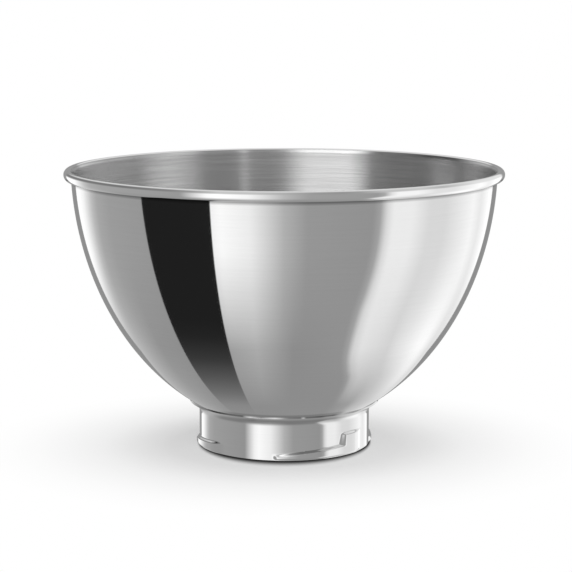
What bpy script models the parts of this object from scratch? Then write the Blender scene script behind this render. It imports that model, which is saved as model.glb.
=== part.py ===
"""Stand mixer bowl: a drawn steel bowl with a rolled rim, on a pressed foot ring with four locking lugs.

Metres, +Z up. The origin is the centre of the foot's bottom edge, which rests on the table.
Angles round the axis are counted from -Y, the front, towards +X.
"""

import math

import bpy

# Bowl: a shell drawn from one disc of sheet
RIM_OUTER_RADIUS = 0.1143
RIM_TOP_HEIGHT = 0.1454
BEAD_WIDTH = 0.0045
BEAD_HEIGHT = 0.0052
BEAD_GAP = 0.0003
BOWL_SHEET = 0.00075
CURVE_CENTRE_ABOVE_RIM = 0.0039
CURVE_LOW_POINT = 0.0091
FLOOR_EDGE_RADIUS = 0.024
FLOOR_BEND_RADIUS = 0.030
DIMPLE_RADIUS = 0.013
DIMPLE_HEIGHT = 0.0022

# Foot: a separate band, with a flange that lies under the bowl
NECK_RADIUS = 0.0449
FOOT_SHEET = 0.0009
FLANGE_OVERHANG = 0.005
NECK_BEND_RADIUS = 0.0048
SEAT_CLEARANCE = 0.0003
REST_EDGE_HEIGHT = 0.0004

# Locking lugs, pressed outwards from the band
LUG_COUNT = 4
LUG_START_ANGLE = math.radians(-8.0)
LUG_START_SPAN = math.radians(5.0)
LUG_START_NARROWING = 0.6
LUG_START_SHARE = 0.55
LUG_SETTLE_SPAN = math.radians(20.0)
RAMP_SPAN = math.radians(46.5)
STOP_WALL_SPAN = math.radians(4.7)
STOP_WALL_NARROWING = 0.55
STOP_FLAT_SPAN = math.radians(8.0)
STOP_FADE_SPAN = math.radians(12.0)
LUGS_PER_STOP = 2
PLAIN_RAMP_SPAN = math.radians(43.0)
PLAIN_FADE_SPAN = math.radians(12.0)
LUG_RELIEF = 0.0019
LUG_UNDERSIDE_HEIGHT = 0.0016
LUG_RELIEF_AT_REST_EDGE = 0.0006
LUG_SHOULDER = 0.0014
LUG_SHOULDER_AT_START = 0.003
RAMP_LOW_HEIGHT = 0.0036
RAMP_HIGH_HEIGHT = 0.0062
STOP_HEIGHT = 0.0121

# Fineness of the turned shapes
BOWL_STEPS = 64
FOOT_STEPS = 104
LOWER_WALL_STEPS = 2
WALL_STEPS = 11
BEAD_STEPS = 13
DIMPLE_STEPS = 3
BEND_STEPS = 4
SHOULDER_SHARES = (0.0, 0.5, 1.0)
UNDERSIDE_SHARES = (1.0, 0.5, 0.2)
SAME_HEIGHT = 0.000001
SMOOTH_LIMIT = math.radians(40.0)

# What follows from the sizes above
BEAD_CENTRE_RADIUS = RIM_OUTER_RADIUS - BEAD_WIDTH / 2
BEAD_CENTRE_HEIGHT = RIM_TOP_HEIGHT - BEAD_HEIGHT / 2
CURVE_CENTRE_HEIGHT = RIM_TOP_HEIGHT + CURVE_CENTRE_ABOVE_RIM
CURVE_DEPTH = CURVE_CENTRE_HEIGHT - CURVE_LOW_POINT
WALL_RADIUS_AT_BEAD = RIM_OUTER_RADIUS - BEAD_WIDTH + BOWL_SHEET
CURVE_RADIUS = WALL_RADIUS_AT_BEAD / math.sqrt(
    1.0 - ((CURVE_CENTRE_HEIGHT - BEAD_CENTRE_HEIGHT) / CURVE_DEPTH) ** 2
)


def steel(name, colour, roughness):
    """Stainless steel: a metallic surface of one grey and one gloss."""
    material = bpy.data.materials.new(name)
    material.use_nodes = True
    shader = material.node_tree.nodes["Principled BSDF"]
    shader.inputs["Base Color"].default_value = (*colour, 1.0)
    shader.inputs["Metallic"].default_value = 1.0
    shader.inputs["Roughness"].default_value = roughness
    return material


def curve_slope(turn):
    """Angle from the horizontal of the bowl's outer curve, at the ellipse's own angle from its low point."""
    return math.atan2(CURVE_DEPTH * math.sin(turn), CURVE_RADIUS * math.cos(turn))


def curve_point(turn, outwards):
    """Radius and height of a point that lies the given distance outside the bowl's outer curve."""
    slope = curve_slope(turn)
    radius = CURVE_RADIUS * math.sin(turn) + outwards * math.sin(slope)
    height = CURVE_CENTRE_HEIGHT - CURVE_DEPTH * math.cos(turn) - outwards * math.cos(slope)
    return radius, height


def solve(rising, low, high):
    """Where a rising function crosses zero, by halving the interval."""
    for _ in range(50):
        middle = (low + high) / 2
        if rising(middle) > 0:
            high = middle
        else:
            low = middle
    return (low + high) / 2


def smooth_step(share):
    """0 below 0, 1 above 1, with a soft start and end between them."""
    share = min(max(share, 0.0), 1.0)
    return share * share * (3.0 - 2.0 * share)


def spread(start, end, count):
    """Evenly spaced values from the start up to, and without, the end."""
    return [start + (end - start) * i / count for i in range(count)]


def radius_below_bowl(turn):
    """Radius at which the flange's underside lies below that point of the bowl's curve."""
    return curve_point(turn, SEAT_CLEARANCE + FOOT_SHEET)[0]


def bend_miss(turn):
    """How far out the neck's face would be if its bend ended below that point of the bowl's curve."""
    inset = NECK_BEND_RADIUS * (1.0 - math.sin(curve_slope(turn)))
    return radius_below_bowl(turn) - inset - NECK_RADIUS


def edge_miss(turn):
    """How far that point of the bowl's curve lies beyond the flange's edge."""
    return radius_below_bowl(turn) - NECK_RADIUS - FLANGE_OVERHANG


# Where the flange begins and ends, on the bowl's outer curve
FLANGE_BEND_TURN = solve(bend_miss, 0.0, math.pi / 2)
FLANGE_EDGE_TURN = solve(edge_miss, 0.0, math.pi / 2)


def floor_outline():
    """Inner side of the floor, from the axis outwards: a shallow dimple, a flat ring and the bend into the wall."""
    edge_turn = math.asin(FLOOR_EDGE_RADIUS / CURVE_RADIUS)
    edge_slope = curve_slope(edge_turn)
    edge_radius, edge_height = curve_point(edge_turn, -BOWL_SHEET)
    bend_radius = FLOOR_BEND_RADIUS - BOWL_SHEET
    floor_height = edge_height - bend_radius * (1.0 - math.cos(edge_slope))
    points = []
    for i in range(DIMPLE_STEPS + 1):
        radius = DIMPLE_RADIUS * i / DIMPLE_STEPS
        rise = DIMPLE_HEIGHT * (1.0 + math.cos(math.pi * radius / DIMPLE_RADIUS)) / 2
        points.append((radius, floor_height + rise))
    for i in range(BEND_STEPS):
        turn = edge_slope * i / BEND_STEPS
        radius = edge_radius - bend_radius * (math.sin(edge_slope) - math.sin(turn))
        points.append((radius, floor_height + bend_radius * (1.0 - math.cos(turn))))
    return points


def wall_outline():
    """Inner side of the wall, from the floor's edge up to the rolled bead."""
    low = math.asin(FLOOR_EDGE_RADIUS / CURVE_RADIUS)
    high = math.acos((CURVE_CENTRE_HEIGHT - RIM_TOP_HEIGHT + BEAD_HEIGHT) / CURVE_DEPTH)
    turns = spread(low, FLANGE_BEND_TURN, LOWER_WALL_STEPS) + [FLANGE_BEND_TURN]
    turns += spread(FLANGE_EDGE_TURN, high, WALL_STEPS) + [high]
    return [curve_point(turn, -BOWL_SHEET) for turn in turns]


def bead_outline():
    """Outer side of the rolled bead: up from the wall, over the top, down and back under to the wall."""
    end_reach = BEAD_CENTRE_RADIUS - WALL_RADIUS_AT_BEAD - BEAD_GAP
    end = -math.pi + math.acos(end_reach / (BEAD_WIDTH / 2))
    turns = [math.pi + (end - math.pi) * i / BEAD_STEPS for i in range(BEAD_STEPS + 1)]
    return [
        (
            BEAD_CENTRE_RADIUS + BEAD_WIDTH / 2 * math.cos(turn),
            BEAD_CENTRE_HEIGHT + BEAD_HEIGHT / 2 * math.sin(turn),
        )
        for turn in turns
    ]


def flange_outline():
    """Underside of the flange and the bend into the neck, from the flange's edge inwards and down."""
    under = SEAT_CLEARANCE + FOOT_SHEET
    slope = curve_slope(FLANGE_BEND_TURN)
    bend_end = curve_point(FLANGE_BEND_TURN, under)
    bend_start_height = bend_end[1] - NECK_BEND_RADIUS * math.cos(slope)
    points = [curve_point(FLANGE_EDGE_TURN, under), bend_end]
    for i in range(BEND_STEPS - 1, -1, -1):
        turn = (math.pi / 2 - slope) * i / BEND_STEPS
        radius = NECK_RADIUS + NECK_BEND_RADIUS * (1.0 - math.cos(turn))
        points.append((radius, bend_start_height + NECK_BEND_RADIUS * math.sin(turn)))
    return points


def shoulder_rows(top):
    """Heights of the three rows of points that round off a lug's top edge."""
    return [top - share * LUG_SHOULDER for share in SHOULDER_SHARES]


def neck_outline():
    """Outer side of the band below the flange, down to its rest edge, with rows of points for a lug's edges."""
    underside = LUG_UNDERSIDE_HEIGHT - REST_EDGE_HEIGHT
    heights = shoulder_rows(STOP_HEIGHT) + shoulder_rows(RAMP_LOW_HEIGHT)
    heights += [REST_EDGE_HEIGHT + share * underside for share in UNDERSIDE_SHARES]
    heights += [REST_EDGE_HEIGHT, 0.0]
    return [(NECK_RADIUS, height) for height in heights]


def place_in_lug(angle):
    """Which lug's share of the circle an angle falls in, and how far it lies past that lug's start."""
    pitch = 2.0 * math.pi / LUG_COUNT
    lug = math.floor((angle - LUG_START_ANGLE) / pitch) % LUG_COUNT
    return lug, (angle - LUG_START_ANGLE) % pitch


def fade_place(has_stop):
    """Where a lug begins to die away past its start, and over what angle: after its stop, or after its ramp."""
    if has_stop:
        return RAMP_SPAN + STOP_WALL_SPAN + STOP_FLAT_SPAN, STOP_FADE_SPAN
    return PLAIN_RAMP_SPAN, PLAIN_FADE_SPAN


def ramp_height(past_start, has_stop):
    """Height of the ramp's top edge: it climbs to the ramp's end and drops back between the lugs."""
    climb = min(past_start / RAMP_SPAN, 1.0)
    pitch = 2.0 * math.pi / LUG_COUNT
    lug_end = sum(fade_place(has_stop))
    drop = smooth_step((past_start - lug_end) / (pitch - lug_end))
    return RAMP_LOW_HEIGHT + (RAMP_HIGH_HEIGHT - RAMP_LOW_HEIGHT) * (climb - drop)


def lug_relief(past_start, has_stop, height):
    """How far the band is pressed outwards at an angle past a lug's start and a height above the table."""
    up_start = min(max(height / RAMP_LOW_HEIGHT, 0.0), 1.0)
    start = smooth_step(past_start / (LUG_START_SPAN * (1.0 - LUG_START_NARROWING * up_start)))
    settled = min(past_start / LUG_SETTLE_SPAN, 1.0)
    start *= LUG_START_SHARE + (1.0 - LUG_START_SHARE) * settled
    shoulder = LUG_SHOULDER_AT_START + (LUG_SHOULDER - LUG_SHOULDER_AT_START) * settled
    fade_start, fade_span = fade_place(has_stop)
    fade = 1.0 - smooth_step((past_start - fade_start) / fade_span)
    pressed = smooth_step((ramp_height(past_start, has_stop) - height) / shoulder)
    if has_stop:
        up_wall = (height - RAMP_HIGH_HEIGHT) / (STOP_HEIGHT - RAMP_HIGH_HEIGHT)
        wall_span = STOP_WALL_SPAN * (1.0 - STOP_WALL_NARROWING * min(max(up_wall, 0.0), 1.0))
        stop = smooth_step((past_start - RAMP_SPAN - STOP_WALL_SPAN + wall_span) / wall_span)
        pressed = max(pressed, stop * smooth_step((STOP_HEIGHT - height) / LUG_SHOULDER))
    over_underside = (height - REST_EDGE_HEIGHT) / (LUG_UNDERSIDE_HEIGHT - REST_EDGE_HEIGHT)
    roundness = math.sqrt(1.0 - (1.0 - min(max(over_underside, 0.0), 1.0)) ** 2)
    relief = LUG_RELIEF_AT_REST_EDGE + (LUG_RELIEF - LUG_RELIEF_AT_REST_EDGE) * roundness
    return relief * start * fade * pressed


def turned(name, outline, steps, collection):
    """A surface turned about the upright axis from an outline of radii and heights."""
    mesh = bpy.data.meshes.new(name)
    edges = [(i, i + 1) for i in range(len(outline) - 1)]
    mesh.from_pydata([(point[0], 0.0, point[1]) for point in outline], edges, [])
    piece = bpy.data.objects.new(name, mesh)
    collection.objects.link(piece)
    screw = piece.modifiers.new("turn", "SCREW")
    screw.steps = steps
    screw.render_steps = steps
    screw.use_merge_vertices = True
    screw.merge_threshold = 0.00005
    return piece


def give_thickness(piece, sheet):
    """Sheet metal: the surface gets its thickness on its hidden side."""
    wall = piece.modifiers.new("sheet", "SOLIDIFY")
    wall.thickness = sheet
    wall.offset = -1.0
    wall.use_even_offset = True
    wall.use_quality_normals = True


def evaluated_copy(piece):
    """The piece's shape with its modifiers worked in."""
    graph = bpy.context.evaluated_depsgraph_get()
    return bpy.data.meshes.new_from_object(piece.evaluated_get(graph))


def press_lugs(piece):
    """Presses the locking lugs out of the turned band, point by point."""
    turned_mesh = evaluated_copy(piece)
    piece.modifiers.clear()
    piece.data = turned_mesh
    for vertex in turned_mesh.vertices:
        x, y, height = vertex.co
        if height > STOP_HEIGHT + LUG_SHOULDER:
            continue
        lug, past_start = place_in_lug(math.atan2(x, -y))
        has_stop = lug % LUGS_PER_STOP == 0
        if any(abs(height - row) < SAME_HEIGHT for row in shoulder_rows(RAMP_LOW_HEIGHT)):
            height += ramp_height(past_start, has_stop) - RAMP_LOW_HEIGHT
        radius = math.hypot(x, y)
        stretch = (radius + lug_relief(past_start, has_stop, height)) / radius
        vertex.co = (x * stretch, y * stretch, height)
    turned_mesh.update()


def shade(piece, material):
    """Smooth shading with its sharp edges kept, and the piece's own material."""
    piece.data.shade_smooth()
    piece.data.set_sharp_from_angle(angle=SMOOTH_LIMIT)
    piece.data.materials.append(material)


def make_bowl(collection):
    """Drawn bowl with its floor, wall and rolled rim in one sheet."""
    outline = floor_outline() + wall_outline() + bead_outline()
    bowl = turned("bowl", outline, BOWL_STEPS, collection)
    shade(bowl, steel("bowl_steel", (0.78, 0.78, 0.78), 0.12))
    give_thickness(bowl, BOWL_SHEET)
    return bowl


def make_foot(collection):
    """Pressed band under the bowl, with its flange, neck and lugs."""
    outline = flange_outline() + neck_outline()
    foot = turned("locking_foot", outline, FOOT_STEPS, collection)
    press_lugs(foot)
    shade(foot, steel("foot_steel", (0.80, 0.80, 0.80), 0.08))
    give_thickness(foot, FOOT_SHEET)
    return foot


for old in list(bpy.data.objects):
    bpy.data.objects.remove(old)
parts = bpy.data.collections.new("stand_mixer_bowl")
bpy.context.scene.collection.children.link(parts)
make_bowl(parts)
make_foot(parts)
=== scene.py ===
import math

import bpy
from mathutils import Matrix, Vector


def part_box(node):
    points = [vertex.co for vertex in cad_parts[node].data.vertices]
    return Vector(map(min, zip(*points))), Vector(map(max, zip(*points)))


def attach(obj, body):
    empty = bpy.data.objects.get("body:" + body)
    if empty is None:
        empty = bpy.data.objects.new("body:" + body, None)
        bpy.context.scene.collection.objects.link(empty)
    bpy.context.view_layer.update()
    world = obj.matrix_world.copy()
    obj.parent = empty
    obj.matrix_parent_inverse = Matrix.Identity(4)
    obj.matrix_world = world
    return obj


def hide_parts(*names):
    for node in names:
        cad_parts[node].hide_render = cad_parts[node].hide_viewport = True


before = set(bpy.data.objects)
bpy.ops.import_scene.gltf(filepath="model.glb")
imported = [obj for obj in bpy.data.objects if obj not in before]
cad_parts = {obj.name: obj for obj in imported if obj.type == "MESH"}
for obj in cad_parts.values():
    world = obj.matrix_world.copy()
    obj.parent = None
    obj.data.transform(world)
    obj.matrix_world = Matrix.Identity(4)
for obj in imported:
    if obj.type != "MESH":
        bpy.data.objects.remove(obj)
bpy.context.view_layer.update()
root = "root"


# Bowl. A deep bowl drawn from one disc of stainless sheet: a dimpled floor, a wall that sweeps up as part of
# an ellipse, and an outward rolled rim. The outside is polished to a mirror, the inside is brushed round.
rim_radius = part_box("bowl")[1][0]
rim_height = 0.1454
bead_width = 0.0045
bead_height = 0.0052
bead_gap = 0.0003
bowl_sheet = 0.00075
curve_centre_above_rim = 0.0039
curve_low_point = 0.0091
curve_centre_height = rim_height + curve_centre_above_rim
curve_depth = curve_centre_height - curve_low_point
bead_centre_radius = rim_radius - bead_width / 2
bead_centre_height = rim_height - bead_height / 2
wall_radius_at_bead = rim_radius - bead_width + bowl_sheet
curve_radius = wall_radius_at_bead / math.sqrt(
    1.0 - ((curve_centre_height - bead_centre_height) / curve_depth) ** 2
)
floor_edge_radius = 0.024
floor_bend_radius = 0.030
dimple_radius = 0.013
dimple_height = 0.0022
dimple_steps = 12
floor_bend_steps = 8
wall_steps = 64
bead_steps = 48
bowl_turn_steps = 288
merge_distance = 0.00002
smooth_angle = math.radians(40.0)


def curve_slope(turn):
    """Slope of the bowl's outer curve at the ellipse's own angle from its low point."""
    return math.atan2(curve_depth * math.sin(turn), curve_radius * math.cos(turn))


def curve_point(turn, outwards):
    """Radius and height of a point the given distance outside the bowl's outer curve."""
    slope = curve_slope(turn)
    radius = curve_radius * math.sin(turn) + outwards * math.sin(slope)
    height = curve_centre_height - curve_depth * math.cos(turn) - outwards * math.cos(slope)
    return radius, height


def bowl_profile():
    """Inner side of the floor and wall, then the outer side of the rolled rim, from the axis outwards."""
    edge_turn = math.asin(floor_edge_radius / curve_radius)
    edge_slope = curve_slope(edge_turn)
    edge_radius, edge_height = curve_point(edge_turn, -bowl_sheet)
    bend = floor_bend_radius - bowl_sheet
    floor_height = edge_height - bend * (1.0 - math.cos(edge_slope))
    points = []
    for i in range(dimple_steps + 1):
        radius = dimple_radius * i / dimple_steps
        rise = dimple_height * (1.0 + math.cos(math.pi * radius / dimple_radius)) / 2
        points.append((radius, floor_height + rise))
    for i in range(floor_bend_steps):
        turn = edge_slope * i / floor_bend_steps
        radius = edge_radius - bend * (math.sin(edge_slope) - math.sin(turn))
        points.append((radius, floor_height + bend * (1.0 - math.cos(turn))))
    top_turn = math.acos((curve_centre_height - bead_centre_height + bead_height / 2) / curve_depth)
    for i in range(wall_steps + 1):
        points.append(curve_point(edge_turn + (top_turn - edge_turn) * i / wall_steps, -bowl_sheet))
    end_reach = bead_centre_radius - wall_radius_at_bead - bead_gap
    bead_end = -math.pi + math.acos(end_reach / (bead_width / 2))
    for i in range(bead_steps + 1):
        turn = math.pi + (bead_end - math.pi) * i / bead_steps
        radius = bead_centre_radius + bead_width / 2 * math.cos(turn)
        points.append((radius, bead_centre_height + bead_height / 2 * math.sin(turn)))
    return points


def drawn_profile(name, points):
    """A line of points in an upright plane through the axis, pushed out one after another from the first."""
    bpy.ops.object.select_all(action="DESELECT")
    bpy.ops.mesh.primitive_plane_add(size=0.001, location=(0.0, 0.0, 0.0))
    piece = bpy.context.object
    piece.name = name
    piece.data.name = name
    bpy.ops.object.mode_set(mode="EDIT")
    bpy.ops.mesh.merge(type="CENTER")
    bpy.ops.transform.translate(value=(points[0][0], 0.0, points[0][1]))
    for last, point in zip(points, points[1:]):
        step = (point[0] - last[0], 0.0, point[1] - last[1])
        bpy.ops.mesh.extrude_region_move(TRANSFORM_OT_translate={"value": step})
    return piece


def spin_round(steps):
    """Turns the drawn profile once round the upright axis and closes the seam."""
    bpy.ops.mesh.select_all(action="SELECT")
    bpy.ops.mesh.spin(steps=steps, angle=2.0 * math.pi, center=(0.0, 0.0, 0.0), axis=(0.0, 0.0, 1.0))
    bpy.ops.mesh.select_all(action="SELECT")
    bpy.ops.mesh.remove_doubles(threshold=merge_distance)
    bpy.ops.mesh.normals_make_consistent(inside=False)
    bpy.ops.object.mode_set(mode="OBJECT")


def thicken(piece, sheet):
    """Gives the turned surface its sheet thickness, with the piece's next material on the new side."""
    wall = piece.modifiers.new("sheet", "SOLIDIFY")
    wall.thickness = sheet
    wall.offset = -1.0
    wall.use_even_offset = True
    wall.material_offset = 1
    bpy.ops.object.select_all(action="DESELECT")
    piece.select_set(True)
    bpy.context.view_layer.objects.active = piece
    bpy.ops.object.modifier_apply(modifier=wall.name)
    bpy.ops.object.shade_smooth_by_angle(angle=smooth_angle)


def steel(name, colour, roughness, anisotropic):
    """Bare stainless steel, with its gloss on the shader's own sockets."""
    material = bpy.data.materials.new(name)
    material.use_nodes = True
    shader = material.node_tree.nodes["Principled BSDF"]
    shader.inputs["Base Color"].default_value = (colour, colour, colour, 1.0)
    shader.inputs["Metallic"].default_value = 1.0
    shader.inputs["Roughness"].default_value = roughness
    shader.inputs["Anisotropic"].default_value = anisotropic
    return material


steel_tone = 0.80
rim_tone = 0.88
bowl = drawn_profile("mixing_bowl", bowl_profile())
spin_round(bowl_turn_steps)
brushed = steel("brushed_inside", steel_tone, roughness=0.27, anisotropic=1.0)
polished = steel("polished_outside", steel_tone, roughness=0.06, anisotropic=1.0)
bead_steel = steel("polished_rim", rim_tone, roughness=0.0, anisotropic=0.0)


def math_node(tree, operation, *values):
    """One Math node; each value is a number or another node's output."""
    node = tree.nodes.new("ShaderNodeMath")
    node.operation = operation
    for socket, value in zip(node.inputs, values):
        if isinstance(value, (int, float)):
            socket.default_value = value
        else:
            tree.links.new(value, socket)
    return node.outputs[0]


def vector_node(tree, operation, *values):
    """One Vector Math node; each value is three numbers or another node's output."""
    node = tree.nodes.new("ShaderNodeVectorMath")
    node.operation = operation
    for socket, value in zip(node.inputs, values):
        if isinstance(value, tuple):
            socket.default_value = value
        else:
            tree.links.new(value, socket)
    return node.outputs["Value" if operation in ("LENGTH", "DOT_PRODUCT") else "Vector"]


def map_range(tree, value, low, high, first=0.0, last=1.0, smooth=False):
    """The first number at the low value and before it, the last one at the high value and past it."""
    node = tree.nodes.new("ShaderNodeMapRange")
    node.interpolation_type = "SMOOTHSTEP" if smooth else "LINEAR"
    tree.links.new(value, node.inputs["Value"])
    node.inputs["From Min"].default_value = low
    node.inputs["From Max"].default_value = high
    node.inputs["To Min"].default_value = first
    node.inputs["To Max"].default_value = last
    return node.outputs["Result"]


def grey_ramp(tree, share, stops):
    """Greys along a share from 0 to 1; each stop is a place and how light it is."""
    node = tree.nodes.new("ShaderNodeValToRGB")
    tree.links.new(share, node.inputs["Fac"])
    elements = node.color_ramp.elements
    for place, level in stops[1:-1]:
        elements.new(place)
    for element, (place, level) in zip(elements, stops):
        element.position = place
        element.color = (level, level, level, 1.0)
    return node.outputs["Color"]


def mix(tree, share, first, second):
    """From the first colour to the second; a number stands for a grey."""
    node = tree.nodes.new("ShaderNodeMix")
    node.data_type = "RGBA"
    sockets = {socket.name: socket for socket in node.inputs if socket.enabled}
    tree.links.new(share, sockets["Factor"])
    for name, colour in (("A", first), ("B", second)):
        if isinstance(colour, float):
            sockets[name].default_value = (colour, colour, colour, 1.0)
        else:
            tree.links.new(colour, sockets[name])
    return [socket for socket in node.outputs if socket.enabled][0]


def part_of(tree, vector, axis):
    """One of a vector's three numbers."""
    node = tree.nodes.new("ShaderNodeSeparateXYZ")
    tree.links.new(vector, node.inputs[0])
    return node.outputs[axis]


def place_on(tree):
    """Place on the object, in metres from its origin."""
    return tree.nodes.new("ShaderNodeTexCoord").outputs["Object"]


def colour_along(material, axis, stops):
    """Colour of a steel along one of the object's axes; each stop is a place and a share of its tone."""
    tree = material.node_tree
    low, high = stops[0][0], stops[-1][0]
    share = map_range(tree, part_of(tree, place_on(tree), axis), low, high)
    return grey_ramp(
        tree, share, [((place - low) / (high - low), steel_tone * factor) for place, factor in stops]
    )


def change_over(material, axis, low, high, first, second):
    """From the first colour to the second between two places along one of the object's axes."""
    tree = material.node_tree
    return mix(tree, map_range(tree, part_of(tree, place_on(tree), axis), low, high), first, second)


brush_line_stretch = 560.0
brush_noise_scale = 2.2
brush_noise_detail = 4.0
brush_noise_roughness = 0.7
brush_noise_low = 0.3
brush_noise_high = 0.7


def brush_lines(material, colour, depth):
    """Fine lines round the axis, from a noise that is long round it and short along the turned profile."""
    tree = material.node_tree
    place = place_on(tree)
    flat = vector_node(tree, "MULTIPLY", place, (1.0, 1.0, 0.0))
    outwards = vector_node(tree, "NORMALIZE", flat)
    along = math_node(tree, "ADD", part_of(tree, place, "Z"), vector_node(tree, "LENGTH", flat))
    upright = tree.nodes.new("ShaderNodeCombineXYZ")
    tree.links.new(along, upright.inputs["Z"])
    lines = vector_node(
        tree, "MULTIPLY_ADD", upright.outputs["Vector"], (0.0, 0.0, brush_line_stretch), outwards
    )
    grain = tree.nodes.new("ShaderNodeTexNoise")
    grain.inputs["Scale"].default_value = brush_noise_scale
    grain.inputs["Detail"].default_value = brush_noise_detail
    grain.inputs["Roughness"].default_value = brush_noise_roughness
    tree.links.new(lines, grain.inputs["Vector"])
    level = map_range(
        tree, grain.outputs["Fac"], brush_noise_low, brush_noise_high, 1.0 - depth, 1.0 + depth
    )
    shaded = vector_node(tree, "MULTIPLY", colour, level)
    tree.links.new(shaded, tree.nodes["Principled BSDF"].inputs["Base Color"])


quarter_turn = 0.25
for material in (brushed, polished):
    shader = material.node_tree.nodes["Principled BSDF"]
    tangent = material.node_tree.nodes.new("ShaderNodeTangent")
    tangent.direction_type = "RADIAL"
    tangent.axis = "Z"
    material.node_tree.links.new(tangent.outputs["Tangent"], shader.inputs["Tangent"])
    shader.inputs["Anisotropic Rotation"].default_value = quarter_turn

# Painted shade: the wall's colour darkens under the rim all round, and at the seam above the foot except at
# the bowl's two sides.
under_bead = rim_height - bead_height
seam_height = 0.0242
seam_left_end = (-0.027, -0.034)
seam_right_end = (0.0290, 0.0320)
above_seam = (0.040, 0.050)
wall_painted_shade_colour = colour_along(
    polished,
    "Z",
    [
        (seam_height + 0.0002, 0.62),
        (seam_height + 0.0012, 1.0),
        (under_bead - 0.0020, 1.0),
        (under_bead - 0.0009, 0.55),
        (under_bead - 0.0002, 0.35),
    ],
)
seam_painted_shade_colour = change_over(polished, "X", *seam_left_end, wall_painted_shade_colour, steel_tone)
seam_painted_shade_colour = change_over(polished, "X", *seam_right_end, seam_painted_shade_colour, steel_tone)
wall_painted_shade_colour = change_over(polished, "Z", *above_seam, seam_painted_shade_colour, wall_painted_shade_colour)
brush_lines(polished, wall_painted_shade_colour, depth=0.016)
# Painted shade: the brushed inside's colour is darker lower down inside the bowl, below the rim.
inside_painted_shade_colour = colour_along(brushed, "Z", [(0.116, 0.82), (0.126, 0.90), (0.137, 1.0)])
brush_lines(brushed, inside_painted_shade_colour, depth=0.13)
bowl.data.materials.append(brushed)
bowl.data.materials.append(polished)
bowl.data.materials.append(bead_steel)
thicken(bowl, bowl_sheet)
bead_faces_outside = wall_radius_at_bead + 0.00005
bead_faces_above = bead_centre_height - bead_height
bead_material_index = 2
for face in bowl.data.polygons:
    radius = math.hypot(face.center.x, face.center.y)
    on_bead = radius > bead_faces_outside and face.center.z > bead_faces_above
    if radius > bead_centre_radius or on_bead:
        face.material_index = bead_material_index
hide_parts("bowl")
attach(bowl, root)


# Foot. A pressed band of the same steel under the bowl. Its flange lies against the bowl and is spot-welded
# to it. Four bayonet lugs are pressed out of its neck, each with a low ramp that climbs a little. Every
# second lug ends at a raised stop, and the others die away.
neck_radius = 0.0449
foot_sheet = 0.0009
flange_overhang = 0.005
neck_bend_radius = 0.0048
seat_clearance = 0.0003
rest_edge_height = 0.0004
lug_count = 4
lug_start = math.radians(-8.0)
lug_start_span = math.radians(5.0)
lug_start_narrowing = 0.6
lug_start_share = 0.55
lug_settle_span = math.radians(20.0)
ramp_span = math.radians(46.5)
stop_wall_span = math.radians(4.7)
stop_wall_narrowing = 0.55
stop_flat_span = math.radians(8.0)
stop_fade_span = math.radians(12.0)
lugs_per_stop = 2
plain_ramp_span = math.radians(43.0)
plain_fade_span = math.radians(12.0)
lug_depth = 0.0019
lug_underside_height = 0.0016
lug_depth_at_rest_edge = 0.0006
lug_shoulder = 0.0014
lug_shoulder_at_start = 0.003
ramp_low_height = 0.0036
ramp_high_height = 0.0062
stop_height = 0.0121
lug_zone_height = 0.0130
flange_steps = 8
neck_bend_steps = 12
plain_neck_steps = 8
lug_zone_steps = 52
foot_turn_steps = 480


def smooth_step(share):
    """0 below 0, 1 above 1, with a soft start and end between them."""
    share = min(max(share, 0.0), 1.0)
    return share * share * (3.0 - 2.0 * share)


def solve(rising, low, high):
    """Where a rising function crosses zero, by halving the interval 50 times."""
    for _ in range(50):
        middle = (low + high) / 2
        if rising(middle) > 0:
            high = middle
        else:
            low = middle
    return (low + high) / 2


def foot_profile():
    """Underside of the flange, the bend and the neck's outer face, from the flange's edge down."""
    under = seat_clearance + foot_sheet
    steepest = 1.5
    edge_turn = solve(
        lambda turn: curve_point(turn, under)[0] - neck_radius - flange_overhang, 0.0, steepest
    )
    bend_turn = solve(
        lambda turn: curve_point(turn, under)[0]
        - neck_bend_radius * (1.0 - math.sin(curve_slope(turn)))
        - neck_radius,
        0.0,
        steepest,
    )
    points = []
    for i in range(flange_steps + 1):
        points.append(curve_point(edge_turn + (bend_turn - edge_turn) * i / flange_steps, under))
    slope = curve_slope(bend_turn)
    neck_top = points[-1][1] - neck_bend_radius * math.cos(slope)
    for i in range(neck_bend_steps - 1, -1, -1):
        turn = (math.pi / 2 - slope) * i / neck_bend_steps
        radius = neck_radius + neck_bend_radius * (1.0 - math.cos(turn))
        points.append((radius, neck_top + neck_bend_radius * math.sin(turn)))
    for i in range(1, plain_neck_steps + 1):
        points.append((neck_radius, neck_top + (lug_zone_height - neck_top) * i / plain_neck_steps))
    for i in range(1, lug_zone_steps + 1):
        points.append((neck_radius, lug_zone_height * (1.0 - i / lug_zone_steps)))
    return points


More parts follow.
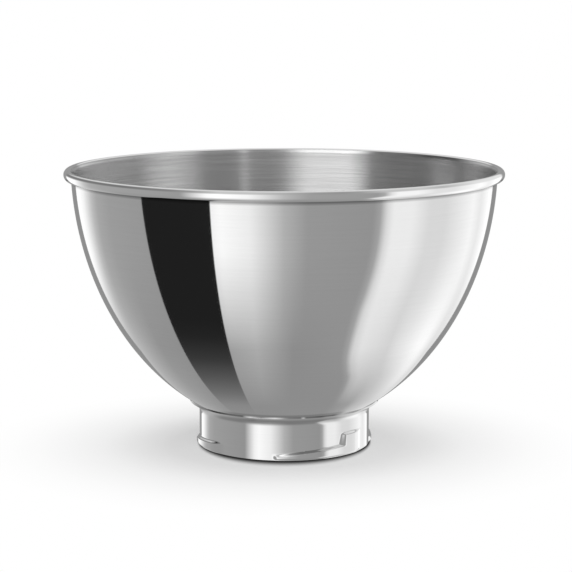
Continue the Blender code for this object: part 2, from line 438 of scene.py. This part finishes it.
def lug_relief(angle, height):
    """How far the band is pressed outwards at an angle from the front and a height above the table."""
    pitch = 2.0 * math.pi / lug_count
    past_start = (angle - lug_start) % pitch
    has_stop = math.floor((angle - lug_start) / pitch) % lugs_per_stop == 0
    fade_start, fade_span = plain_ramp_span, plain_fade_span
    if has_stop:
        fade_start, fade_span = ramp_span + stop_wall_span + stop_flat_span, stop_fade_span
    lug_end = fade_start + fade_span
    drop = smooth_step((past_start - lug_end) / (pitch - lug_end))
    climb = min(past_start / ramp_span, 1.0)
    ramp_height = ramp_low_height + (ramp_high_height - ramp_low_height) * (climb - drop)
    up_start = min(max(height / ramp_low_height, 0.0), 1.0)
    start = smooth_step(past_start / (lug_start_span * (1.0 - lug_start_narrowing * up_start)))
    settled = min(past_start / lug_settle_span, 1.0)
    start *= lug_start_share + (1.0 - lug_start_share) * settled
    shoulder = lug_shoulder_at_start + (lug_shoulder - lug_shoulder_at_start) * settled
    fade = 1.0 - smooth_step((past_start - fade_start) / fade_span)
    pressed = smooth_step((ramp_height - height) / shoulder)
    if has_stop:
        up_wall = (height - ramp_high_height) / (stop_height - ramp_high_height)
        wall_span = stop_wall_span * (1.0 - stop_wall_narrowing * min(max(up_wall, 0.0), 1.0))
        stop = smooth_step((past_start - ramp_span - stop_wall_span + wall_span) / wall_span)
        pressed = max(pressed, stop * smooth_step((stop_height - height) / lug_shoulder))
    over_underside = (height - rest_edge_height) / (lug_underside_height - rest_edge_height)
    roundness = math.sqrt(1.0 - (1.0 - min(max(over_underside, 0.0), 1.0)) ** 2)
    relief = lug_depth_at_rest_edge + (lug_depth - lug_depth_at_rest_edge) * roundness
    return relief * start * fade * pressed


foot = drawn_profile("foot_ring", foot_profile())
spin_round(foot_turn_steps)
for vertex in foot.data.vertices:
    x, y, height = vertex.co
    radius = math.hypot(x, y)
    stretch = (radius + lug_relief(math.atan2(x, -y), height)) / radius
    vertex.co = (x * stretch, y * stretch, height)
foot_steel = steel("polished_foot", steel_tone, roughness=0.0, anisotropic=0.0)

# Painted shade: the foot's colour darkens in the bend under the flange except at the foot's two sides, and
# painted dark reflections lie in a few patches along the flange's edge.
bend_shade_left_end = (-0.0315, -0.037)
bend_shade_right_end = (0.0260, 0.0325)
flange_edge_height = (0.0227, 0.0229)
foot_painted_shade_colour = colour_along(
    foot_steel, "Z", [(0.0182, 1.0), (0.0192, 0.72), (0.0206, 0.66), (0.0214, 0.72), (0.0222, 1.0)]
)
foot_painted_shade_colour = change_over(foot_steel, "X", *bend_shade_left_end, foot_painted_shade_colour, steel_tone)
foot_painted_shade_colour = change_over(foot_steel, "X", *bend_shade_right_end, foot_painted_shade_colour, steel_tone)
flange_edge_painted_reflection = colour_along(
    foot_steel,
    "X",
    [
        (-0.0226, 1.0),
        (-0.0180, 0.60),
        (-0.0115, 0.30),
        (-0.0040, 0.80),
        (0.0, 1.0),
        (0.0126, 0.72),
        (0.0200, 0.45),
        (0.0252, 0.27),
        (0.0300, 1.0),
    ],
)
foot_painted_shade_colour = change_over(foot_steel, "Z", *flange_edge_height, foot_painted_shade_colour, flange_edge_painted_reflection)
brush_lines(foot_steel, foot_painted_shade_colour, depth=0.012)
foot.visible_glossy = False
foot.data.materials.append(foot_steel)
thicken(foot, foot_sheet)
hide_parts("locking_foot")
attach(foot, root)


# Floor. The white table that the bowl stands on. It takes the bowl's shadow near the foot and glows white
# further out. A dark contact line is painted close round the foot, wider at the front and back.
table_size = 12.0
shade_centre = -0.010
shade_stretch = 1.15
shade_start = 0.060
shade_end = 0.160
contact_start_at_side = 0.0451
contact_start_added_ahead = 0.0017
contact_width_at_side = 0.0014
contact_width_added_ahead = 0.0106
contact_level = 0.03
bpy.ops.object.select_all(action="DESELECT")
bpy.ops.mesh.primitive_plane_add(size=table_size, location=(0.0, 0.0, 0.0))
floor = bpy.context.object
floor.name = "floor"
floor.visible_glossy = False
floor_material = bpy.data.materials.new("floor")
floor_material.use_nodes = True
table = floor_material.node_tree
table.nodes.clear()
floor_place = place_on(table)


def distance_from(y, stretch):
    """Distance on the floor from a point on the middle line, with its depth counted stretch times."""
    offset = vector_node(table, "MULTIPLY_ADD", floor_place, (1.0, stretch, 1.0), (0.0, -y * stretch, 0.0))
    return vector_node(table, "LENGTH", offset)


clear = grey_ramp(
    table,
    map_range(table, distance_from(shade_centre, shade_stretch), shade_start, shade_end),
    [(0.0, 0.46), (0.15, 0.57), (0.35, 0.75), (0.53, 0.85), (0.70, 0.93), (0.83, 0.97), (1.0, 1.0)],
)
from_axis = distance_from(0.0, 1.0)
ahead = math_node(table, "DIVIDE", part_of(table, floor_place, "Y"), from_axis)
ahead = math_node(table, "POWER", ahead, 2.0)
line_width = math_node(table, "MULTIPLY_ADD", ahead, contact_width_added_ahead, contact_width_at_side)
line_start = math_node(table, "MULTIPLY_ADD", ahead, contact_start_added_ahead, contact_start_at_side)
past_line_start = math_node(table, "SUBTRACT", from_axis, line_start)
across_line = math_node(table, "DIVIDE", past_line_start, line_width)
contact = map_range(table, across_line, 0.0, 1.0, first=contact_level, smooth=True)
diffuse = table.nodes.new("ShaderNodeBsdfDiffuse")
table.links.new(contact, diffuse.inputs["Color"])
glow = table.nodes.new("ShaderNodeEmission")
table.links.new(contact, glow.inputs["Strength"])
mixer = table.nodes.new("ShaderNodeMixShader")
table.links.new(clear, mixer.inputs["Fac"])
table.links.new(diffuse.outputs[0], mixer.inputs[1])
table.links.new(glow.outputs[0], mixer.inputs[2])
output = table.nodes.new("ShaderNodeOutputMaterial")
table.links.new(mixer.outputs[0], output.inputs["Surface"])
floor.data.materials.append(floor_material)


# Studio. What the polished steel mirrors: a grey room with bright panels at both sides, a black flag at the
# left and a grey card behind the bowl. All are tones by the direction that a surface has to face to show
# them: the angle round the bowl, from the front to the right, and the tilt upwards, both in degrees.
towards_camera = math.radians(9.8)
world = bpy.data.worlds.new("studio")
bpy.context.scene.world = world
world.use_nodes = True
room = world.node_tree
room.nodes.clear()
direction = room.nodes.new("ShaderNodeTexCoord").outputs["Generated"]
paths = room.nodes.new("ShaderNodeLightPath")
halfway = vector_node(room, "ADD", direction, (0.0, -math.cos(towards_camera), math.sin(towards_camera)))
facing = vector_node(room, "NORMALIZE", halfway)
forwards = math_node(room, "MULTIPLY", part_of(room, facing, "Y"), -1.0)
round_angle = math_node(room, "DEGREES", math_node(room, "ARCTAN2", part_of(room, facing, "X"), forwards))
tilt = math_node(room, "DEGREES", math_node(room, "ARCSINE", part_of(room, facing, "Z")))
sharp_ray = paths.outputs["Is Singular Ray"]
soft_ray = math_node(room, "SUBTRACT", 1.0, sharp_ray)

# The right panel's bands bow to the left halfway down the wall: the tilt down and the shift, in degrees.
lean_points = (
    (0.0, 0.0), (7.0, 0.3), (12.0, 1.0), (18.0, 2.5), (24.0, 4.0), (31.0, 4.3), (37.0, 2.4), (42.0, 0.0),
    (60.0, 0.0),
)
lean_tilt_span = 60.0
lean_scale = 10.0
lean = room.nodes.new("ShaderNodeFloatCurve")
room.links.new(map_range(room, tilt, 0.0, -lean_tilt_span), lean.inputs["Value"])
lean_curve = lean.mapping.curves[0]
for i, (tilt_down, shift) in enumerate(lean_points):
    if i < 2:
        lean_curve.points[i].location = (tilt_down / lean_tilt_span, shift / lean_scale)
    else:
        lean_curve.points.new(tilt_down / lean_tilt_span, shift / lean_scale)
lean.mapping.update()
lean_shift = math_node(room, "MULTIPLY", lean.outputs["Value"], lean_scale)
panel_left_fade = (8.0, 19.0)
panel_right_fade = (62.0, 42.0)
near_panel = math_node(
    room,
    "MULTIPLY",
    map_range(room, round_angle, *panel_left_fade),
    map_range(room, round_angle, *panel_right_fade),
)
leaned_angle = math_node(room, "ADD", round_angle, math_node(room, "MULTIPLY", lean_shift, near_panel))
round_share = map_range(room, leaned_angle, -90.0, 90.0)


def linear(tone):
    """The light that shows as this grey level from 0 to 255."""
    share = tone / 255.0
    return share / 12.92 if share <= 0.04045 else ((share + 0.055) / 1.055) ** 2.4


def bands(stops):
    """Tones by angle round the bowl in degrees, from -90 at the left to 90 at the right."""
    return grey_ramp(room, round_share, [((angle + 90.0) / 180.0, linear(tone)) for angle, tone in stops])


high_tilt = -10.0
middle_tilt = -31.0
low_tilt = -52.0
high_on_wall = bands(
    [
        (-90, 140), (-80, 255), (-72, 250), (-69, 240), (-63, 185), (-60, 165), (-54, 155), (-27, 145),
        (-20, 240), (-17, 250), (-9, 235), (0, 175), (6, 150), (24, 145), (26, 160), (28, 215),
        (30, 235), (36, 235), (42, 215), (48, 215), (61, 245), (66, 230), (74, 255), (90, 140),
    ]
)
middle_of_wall = bands(
    [
        (-90, 150), (-83, 230), (-78, 235), (-70, 190), (-48, 145), (-30, 140), (-9, 170), (3, 140),
        (24, 145), (26, 160), (28, 210), (31, 225), (42, 210), (55, 250), (58, 250), (63, 220),
        (84, 225), (90, 150),
    ]
)
low_on_wall = bands(
    [
        (-90, 160), (-66, 170), (-21, 130), (-18, 140), (24, 140), (36, 155), (42, 180), (54, 200),
        (80, 215), (90, 180),
    ]
)
studio = mix(room, map_range(room, tilt, high_tilt, middle_tilt), high_on_wall, middle_of_wall)
studio = mix(room, map_range(room, tilt, middle_tilt, low_tilt), studio, low_on_wall)

# The ground under the bowl.
ground_tone = 100
ground_tilts = (-62.0, -74.0)
studio = mix(room, map_range(room, tilt, *ground_tilts), studio, linear(ground_tone))

# What the rim's top shows, and the ceiling.
rim_top_tilts = (17.0, 32.0)
ceiling_tone = 205
ceiling_tilts = (46.0, 58.0)
rim_top = bands(
    [
        (-90, 120), (-45, 110), (-31, 125), (-25, 145), (-17, 190), (-8, 185), (8, 145), (15, 140),
        (20, 150), (28, 185), (38, 190), (45, 170), (60, 215), (78, 215), (86, 140), (90, 130),
    ]
)
studio = mix(room, map_range(room, tilt, *rim_top_tilts, smooth=True), studio, rim_top)
studio = mix(room, map_range(room, tilt, *ceiling_tilts), studio, linear(ceiling_tone))

# What the brushed inside shows.
inside_tilts = (3.0, 12.0)
inside_ceiling_tone = 125
inside_ceiling_tilts = (40.0, 55.0)
inside = bands(
    [
        (-90, 150), (-72, 190), (-64, 160), (-56, 60), (-44, 65), (-36, 105), (-26, 115), (-21, 280),
        (-6, 275), (0, 170), (3, 145), (10, 140), (11, 215), (12, 215), (13, 140), (23, 140), (27, 190),
        (32, 205), (46, 160), (60, 170), (75, 215), (90, 150),
    ]
)
inside = mix(room, map_range(room, tilt, *inside_ceiling_tilts), inside, linear(inside_ceiling_tone))
inwards = math_node(room, "MULTIPLY", map_range(room, tilt, *inside_tilts), soft_ray)
studio = mix(room, inwards, studio, inside)

# Black flag: an upright strip with sharp edges that slant a little, lighter towards its lower end.
flag_left_edge = (-40.4, -40.2)
flag_right_edge = (-19.45, -19.65)
flag_top_tilts = (12.0, 6.0)
flag_bottom_tilt = -60.0
flag_slant = -0.115
flag_slant_starts = 3.0
flag_right_slant_share = 0.3
slant = math_node(room, "MULTIPLY", math_node(room, "ADD", tilt, flag_slant_starts), flag_slant)
right_slant = math_node(room, "MULTIPLY", slant, flag_right_slant_share)
past_left_edge = map_range(room, math_node(room, "SUBTRACT", round_angle, slant), *flag_left_edge)
before_right_edge = map_range(room, math_node(room, "SUBTRACT", round_angle, right_slant), *flag_right_edge)
flag = math_node(room, "MULTIPLY", past_left_edge, before_right_edge)
flag = math_node(room, "MULTIPLY", flag, soft_ray)
flag = math_node(room, "MULTIPLY", flag, map_range(room, tilt, *flag_top_tilts))
flag_stops = [(0.0, 30), (0.4, 30), (0.47, 35), (0.57, 55), (0.67, 85), (0.77, 110), (0.87, 135), (1.0, 140)]
down_flag = map_range(room, tilt, 0.0, flag_bottom_tilt)
flag_tones = grey_ramp(room, down_flag, [(share, linear(tone)) for share, tone in flag_stops])
studio = mix(room, flag, studio, flag_tones)

# Grey card behind the bowl. The wall's limb shows it as a thin line that narrows downwards, and the rim's
# ends show it where they don't face the ground, darkest where they are upright.
limb_card_tone = 135
limb_card_edge = (29.0, 28.0)
limb_narrowing = 17.5
limb_narrowing_tilts = (-33.0, -50.0)
rim_card_tone = 140
rim_card_upright_tone = 105
rim_card_edge = (math.cos(math.radians(29.5)), math.cos(math.radians(25.5)))
rim_card_ground = (-0.40, -0.30)
rim_upright_tilts = (5.0, 3.0)
away = (0.0, math.cos(towards_camera), -math.sin(towards_camera))
closeness = vector_node(room, "DOT_PRODUCT", direction, away)
off_axis = math_node(room, "DEGREES", math_node(room, "ARCCOSINE", closeness))
narrowing = math_node(room, "MULTIPLY", map_range(room, tilt, *limb_narrowing_tilts), limb_narrowing)
limb_card = map_range(room, math_node(room, "ADD", off_axis, narrowing), *limb_card_edge)
limb_card = math_node(room, "MULTIPLY", limb_card, soft_ray)
studio = mix(room, limb_card, studio, linear(limb_card_tone))
rim_card = map_range(room, closeness, *rim_card_edge)
off_ground = map_range(room, part_of(room, direction, "Z"), *rim_card_ground)
rim_card = math_node(room, "MULTIPLY", rim_card, off_ground)
rim_card = math_node(room, "MULTIPLY", rim_card, sharp_ray)
upright_part = map_range(room, math_node(room, "ABSOLUTE", tilt), *rim_upright_tilts)
rim_card_colour = mix(room, upright_part, linear(rim_card_tone), linear(rim_card_upright_tone))
studio = mix(room, rim_card, studio, rim_card_colour)

# The steel sees the studio, and the camera sees white behind the table.
studio_strength = 1.25
mirrored = room.nodes.new("ShaderNodeBackground")
mirrored.inputs["Strength"].default_value = studio_strength
room.links.new(studio, mirrored.inputs["Color"])
white = room.nodes.new("ShaderNodeBackground")
white.inputs["Strength"].default_value = 1.0
white.inputs["Color"].default_value = (1.0, 1.0, 1.0, 1.0)
chooser = room.nodes.new("ShaderNodeMixShader")
room.links.new(paths.outputs["Is Camera Ray"], chooser.inputs["Fac"])
room.links.new(mirrored.outputs[0], chooser.inputs[1])
room.links.new(white.outputs[0], chooser.inputs[2])
world_output = room.nodes.new("ShaderNodeOutputWorld")
room.links.new(chooser.outputs[0], world_output.inputs["Surface"])


# Camera. A long lens a metre in front of the bowl and a little above its rim, looking slightly down. Its
# place and lens come from the same fit as the bowl's curve.
look_down = 9.181
camera_data = bpy.data.cameras.new("camera")
camera_data.lens = 121.63
camera_data.sensor_width = 36.0
camera_data.shift_x = 0.0031
camera = bpy.data.objects.new("camera", camera_data)
bpy.context.scene.collection.objects.link(camera)
camera.location = (0.0, -1.0026, 0.2449)
camera.rotation_euler = (math.radians(90.0 - look_down), 0.0, 0.0)
bpy.context.scene.camera = camera

bpy.context.scene.view_settings.view_transform = "Standard"
